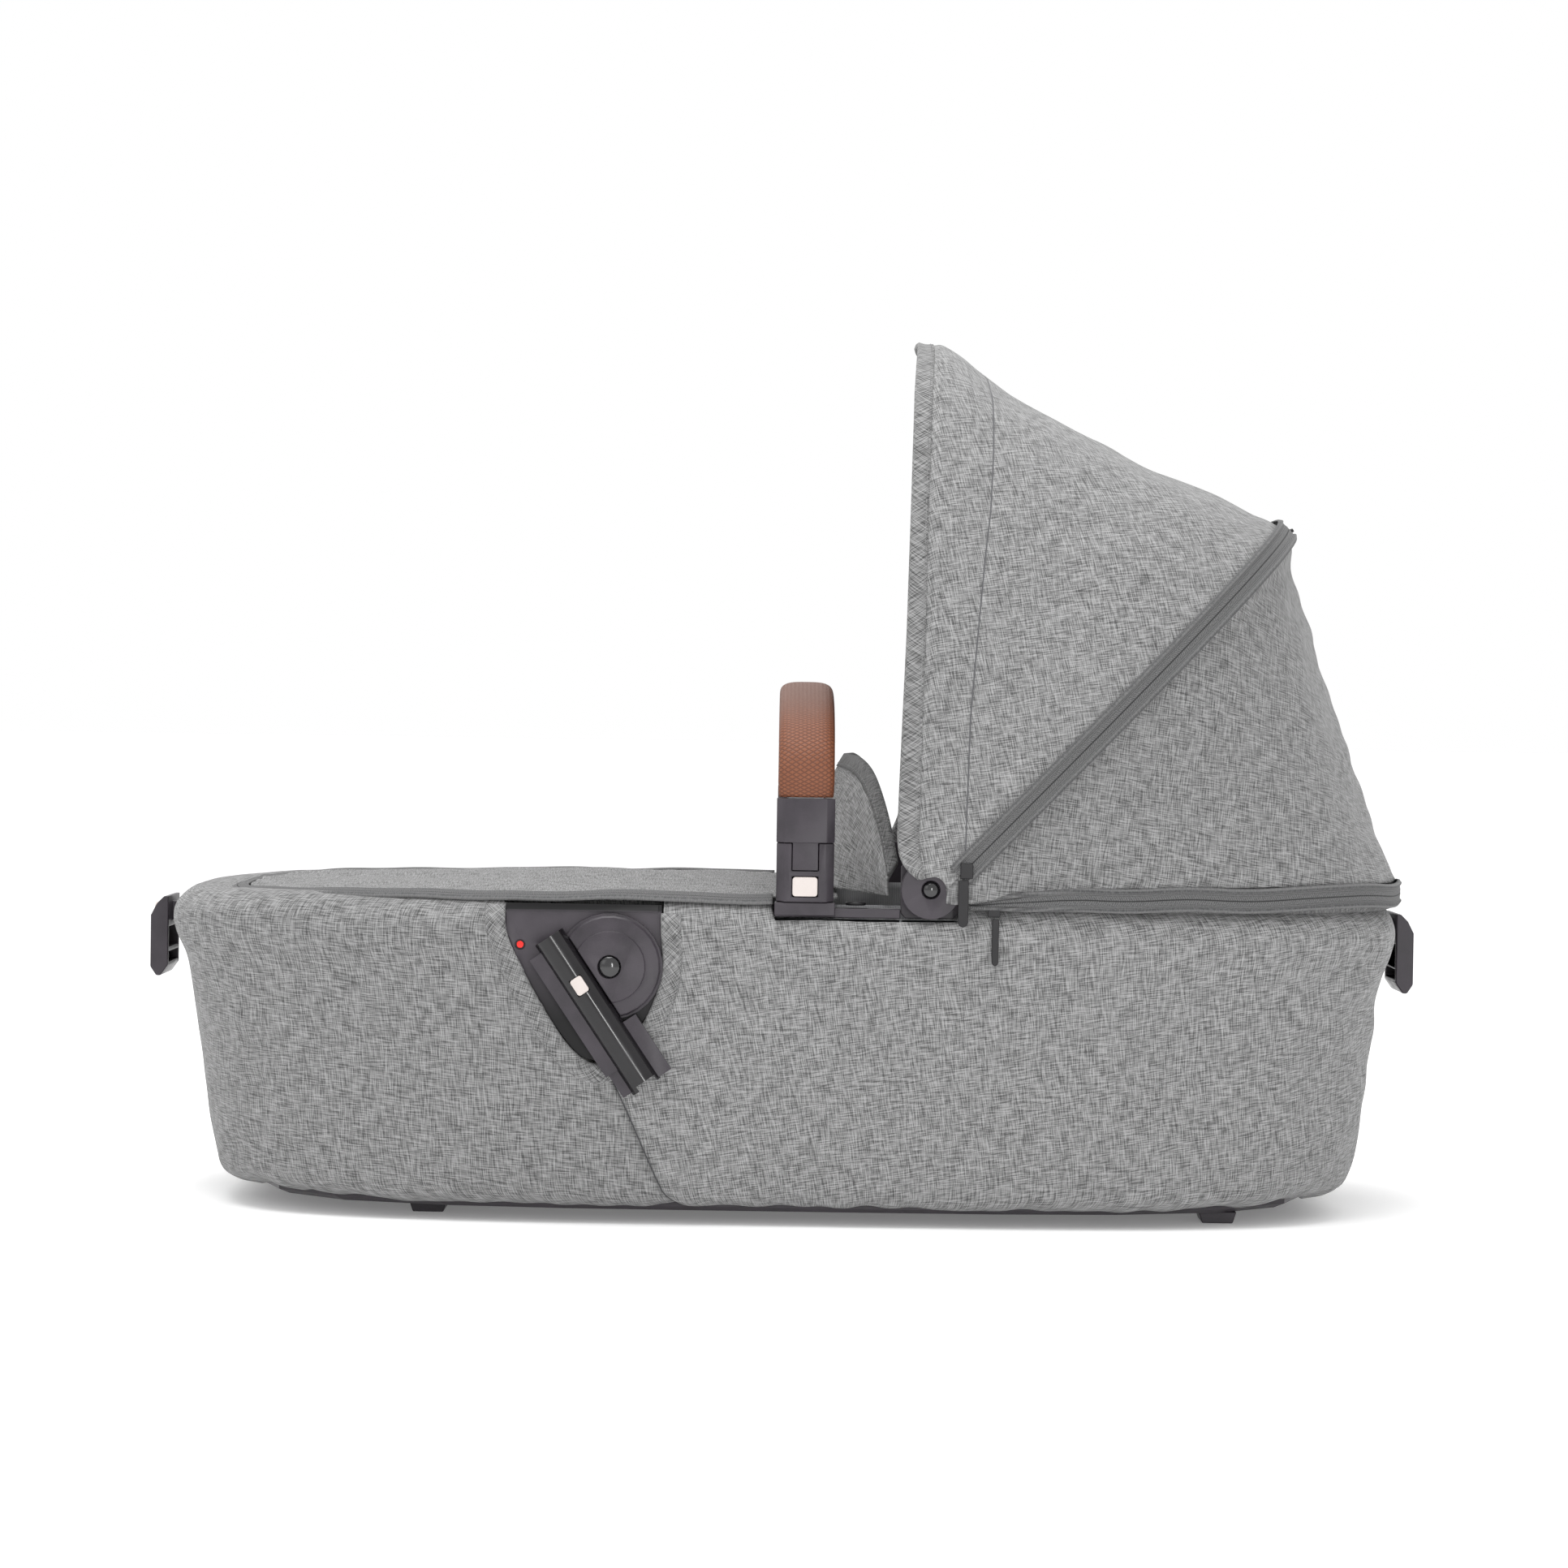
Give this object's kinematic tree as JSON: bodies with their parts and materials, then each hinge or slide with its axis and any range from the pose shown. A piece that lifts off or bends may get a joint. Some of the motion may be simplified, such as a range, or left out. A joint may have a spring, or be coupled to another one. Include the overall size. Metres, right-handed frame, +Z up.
{
  "type": "stroller carrycot",
  "caption": "Fabric carrycot for a stroller: tub hung from a rim frame, fan-folding canopy, zipped apron, lift-out arched handle and swivelling chassis adapters.",
  "frame": {"origin": "middle of the bounding box's bottom, on the floor under the cot", "axes": "+X along the cot towards the head end, +Y across it to the left side, +Z up"},
  "size_m": [0.8592, 0.451, 0.5809],
  "materials": {
    "tub_fabric": "woven melange",
    "apron_fabric": "woven melange",
    "flap_fabric": "woven melange",
    "canopy_fabric": "woven melange",
    "lining_fabric": "knitted",
    "mattress_fabric": "knitted",
    "zip_tape": "woven",
    "aluminium": "satin",
    "stiffener_board": "matte",
    "dark_plastic": "fine moulded texture",
    "zip_hardware": "satin",
    "gloss_cap": "gloss",
    "button_white": "satin",
    "indicator_red": "gloss",
    "leatherette": "embossed",
    "spring_steel": "drawn"
  },
  "bodies": {
    "cot": {"cover_foot_end": "tub_fabric", "cover_head_end": "tub_fabric", "rim_tube": "aluminium", "wall_stiffener": "stiffener_board", "lining": "lining_fabric", "mattress": "mattress_fabric", "base_tray": "dark_plastic", "foot_foot_right": "dark_plastic", "foot_foot_left": "dark_plastic", "foot_head_right": "dark_plastic", "foot_head_left": "dark_plastic", "apron": "apron_fabric", "apron_zip": "zip_tape", "apron_flap": "flap_fabric", "grip_foot_end": "dark_plastic", "grip_spring": "spring_steel", "grip_head_end": "dark_plastic", "adapter_plate_right": "dark_plastic", "adapter_plate_left": "dark_plastic", "lock_indicator_right": "indicator_red", "lock_indicator_left": "indicator_red", "adapter_rivet_right": "gloss_cap", "adapter_rivet_left": "gloss_cap", "handle_socket_right": "dark_plastic", "handle_socket_left": "dark_plastic", "handle_spring_right": "spring_steel", "handle_spring_left": "spring_steel", "rim_rail_right": "dark_plastic", "rim_rail_left": "dark_plastic", "hinge_base_right": "dark_plastic", "hinge_base_left": "dark_plastic", "hinge_disc_right": "dark_plastic", "hinge_disc_left": "dark_plastic", "hinge_pin_right": "gloss_cap", "hinge_pin_left": "gloss_cap", "rim_zip": "zip_tape", "rim_zip_slider": "zip_hardware"},
    "canopy_mid": {"mid_hoop": "dark_plastic", "canopy_rear_panel": "canopy_fabric", "hoop_zip": "zip_tape", "hoop_zip_slider": "zip_hardware"},
    "canopy_front": {"front_hoop": "dark_plastic", "canopy_front_panel": "canopy_fabric"},
    "carry_handle": {"handle_grip": "leatherette", "handle_strip": "aluminium", "handle_end_right": "dark_plastic", "handle_end_left": "dark_plastic"},
    "adapter_right": {"adapter_hub_right": "dark_plastic", "adapter_arm_right": "dark_plastic", "adapter_spring_right": "spring_steel"},
    "adapter_left": {"adapter_hub_left": "dark_plastic", "adapter_arm_left": "dark_plastic", "adapter_spring_left": "spring_steel"},
    "adapter_release_right": {"adapter_button_right": "button_white"},
    "adapter_release_left": {"adapter_button_left": "button_white"},
    "handle_release_right": {"handle_button_right": "button_white"},
    "handle_release_left": {"handle_button_left": "button_white"},
    "grip_release": {"grip_button": "button_white"},
    "hoop_zip_pull": {"hoop_zip_tab": "zip_hardware"},
    "rim_zip_pull": {"rim_zip_tab": "zip_hardware"}
  },
  "joints": [
    {"name": "canopy_mid_fold", "type": "hinge", "parent": "cot", "child": "canopy_mid", "pos_m": [0.0945, 0, 0.219], "axis": [0, 1, 0], "range_deg": [0, 34], "deforming": ["canopy_rear_panel"]},
    {"name": "canopy_front_fold", "type": "hinge", "parent": "canopy_mid", "child": "canopy_front", "pos_m": [0.0945, 0, 0.219], "axis": [0, 1, 0], "range_deg": [0, 34], "deforming": ["canopy_front_panel"]},
    {"name": "handle_lift", "type": "slide", "parent": "cot", "child": "carry_handle", "axis": [0, 0, 1], "range_m": [0, 0.06]},
    {"name": "adapter_swivel_right", "type": "hinge", "parent": "cot", "child": "adapter_right", "pos_m": [-0.1095, -0.208, 0.167], "axis": [0, 1, 0], "range_deg": [-15, 34]},
    {"name": "adapter_swivel_left", "type": "hinge", "parent": "cot", "child": "adapter_left", "pos_m": [-0.1095, 0.208, 0.167], "axis": [0, 1, 0], "range_deg": [-15, 34]},
    {"name": "adapter_button_press_right", "type": "slide", "parent": "adapter_right", "child": "adapter_release_right", "axis": [0, 1, 0], "range_m": [0, 0.0025], "stiffness_N_per_m": 300, "springref_m": -0.001},
    {"name": "adapter_button_press_left", "type": "slide", "parent": "adapter_left", "child": "adapter_release_left", "axis": [0, -1, 0], "range_m": [0, 0.0025], "stiffness_N_per_m": 300, "springref_m": -0.001},
    {"name": "handle_button_press_right", "type": "slide", "parent": "cot", "child": "handle_release_right", "axis": [0, 1, 0], "range_m": [0, 0.003], "stiffness_N_per_m": 300, "springref_m": -0.001},
    {"name": "handle_button_press_left", "type": "slide", "parent": "cot", "child": "handle_release_left", "axis": [0, -1, 0], "range_m": [0, 0.003], "stiffness_N_per_m": 300, "springref_m": -0.001},
    {"name": "grip_button_press", "type": "slide", "parent": "cot", "child": "grip_release", "axis": [1, 0, 0], "range_m": [0, 0.0025], "stiffness_N_per_m": 300, "springref_m": -0.001},
    {"name": "hoop_zip_tab_swing", "type": "hinge", "parent": "canopy_mid", "child": "hoop_zip_pull", "pos_m": [0.115, -0.2206, 0.2245], "axis": [-1, 0, 0], "range_deg": [0, 110]},
    {"name": "rim_zip_tab_swing", "type": "hinge", "parent": "cot", "child": "rim_zip_pull", "pos_m": [0.136, -0.2156, 0.2], "axis": [-1, 0, 0], "range_deg": [0, 110]}
  ],
  "couplings": [
    {"joint": "canopy_front_fold", "follows": "canopy_mid_fold", "ratio": 1}
  ]
}
